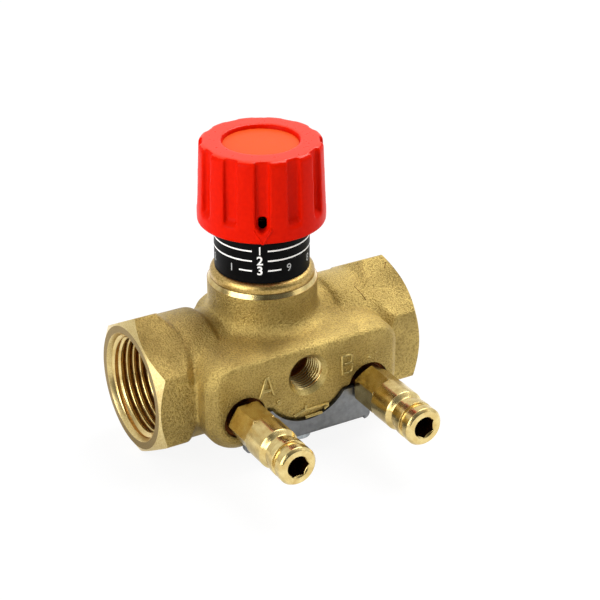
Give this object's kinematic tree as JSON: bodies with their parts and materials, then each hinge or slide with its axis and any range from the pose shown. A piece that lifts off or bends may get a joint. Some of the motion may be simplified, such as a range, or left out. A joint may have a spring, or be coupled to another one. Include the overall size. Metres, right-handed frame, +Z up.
{
  "type": "balancing valve",
  "caption": "Brass balancing valve with threaded pipe ends, presetting handwheel over a scale, and test nipples on a boss.",
  "frame": {"origin": "mouth centre of the left port, marked A, on the pipe axis", "axes": "+X along the pipe axis to the other port, +Z up the stem to the handwheel, -Y out of the boss along the test nipples"},
  "size_m": [0.075, 0.066, 0.0774],
  "materials": {
    "cast_brass": "granular sand-cast surface",
    "machined_brass": "fine turned surface",
    "red_plastic": "smooth moulded",
    "orange_plastic": "smooth moulded",
    "black_plastic": "smooth moulded, white printed rings and figures",
    "grey_steel": "zinc plated sheet",
    "zinc_steel": "bright zinc plating",
    "spindle_steel": "plain turned or formed steel",
    "rubber": "smooth",
    "seal_plastic": "smooth, pale"
  },
  "bodies": {
    "valve": {"valve_body": "cast_brass", "head_insert": "machined_brass", "head_o_ring": "rubber", "spindle_o_ring_lower": "rubber", "spindle_o_ring_upper": "rubber", "scale_ring": "black_plastic", "stop_ring": "spindle_steel", "locking_plate": "grey_steel", "plate_screw": "zinc_steel", "test_plug_a": "machined_brass", "plug_bush_a": "machined_brass", "plug_spring_a": "spindle_steel", "plug_o_ring_a": "rubber", "test_plug_b": "machined_brass", "plug_bush_b": "machined_brass", "plug_spring_b": "spindle_steel", "plug_o_ring_b": "rubber"},
    "cone": {"valve_cone": "machined_brass", "cone_seal": "seal_plastic", "cone_nut": "machined_brass"},
    "stem": {"shut_off_spindle": "machined_brass", "cone_clip": "spindle_steel", "setting_clip": "spindle_steel", "knob": "red_plastic", "knob_cap": "orange_plastic", "knob_screw": "zinc_steel"},
    "setting": {"setting_spindle": "spindle_steel"},
    "stop": {"stop_bar": "spindle_steel"},
    "poppet_a": {"plug_poppet_a": "spindle_steel"},
    "poppet_b": {"plug_poppet_b": "spindle_steel"}
  },
  "joints": [
    {"name": "cone_lift", "type": "slide", "parent": "valve", "child": "cone", "axis": [0, 0, 1], "range_m": [-0.00848, 0]},
    {"name": "knob_turn", "type": "hinge", "parent": "cone", "child": "stem", "pos_m": [0.0375, 0, 0.0376], "axis": [0, 0, 1], "range_deg": [-1152, 0]},
    {"name": "setting_turn", "type": "hinge", "parent": "stem", "child": "setting", "pos_m": [0.0375, 0, 0.048], "axis": [0, 0, 1], "range_deg": [-252, 252]},
    {"name": "stop_lift", "type": "slide", "parent": "stem", "child": "stop", "axis": [0, 0, 1], "range_m": [-0.00035, 0.00035]},
    {"name": "poppet_a_push", "type": "slide", "parent": "valve", "child": "poppet_a", "axis": [0, 1, 0], "range_m": [0, 0.003], "stiffness_N_per_m": 400, "springref_m": -0.003, "deforming": ["plug_spring_a"]},
    {"name": "poppet_b_push", "type": "slide", "parent": "valve", "child": "poppet_b", "axis": [0, 1, 0], "range_m": [0, 0.003], "stiffness_N_per_m": 400, "springref_m": -0.003, "deforming": ["plug_spring_b"]}
  ],
  "couplings": [
    {"joint": "knob_turn", "follows": "cone_lift", "rad_per_m": 2371},
    {"joint": "setting_turn", "follows": "stop_lift", "rad_per_m": -12566}
  ]
}
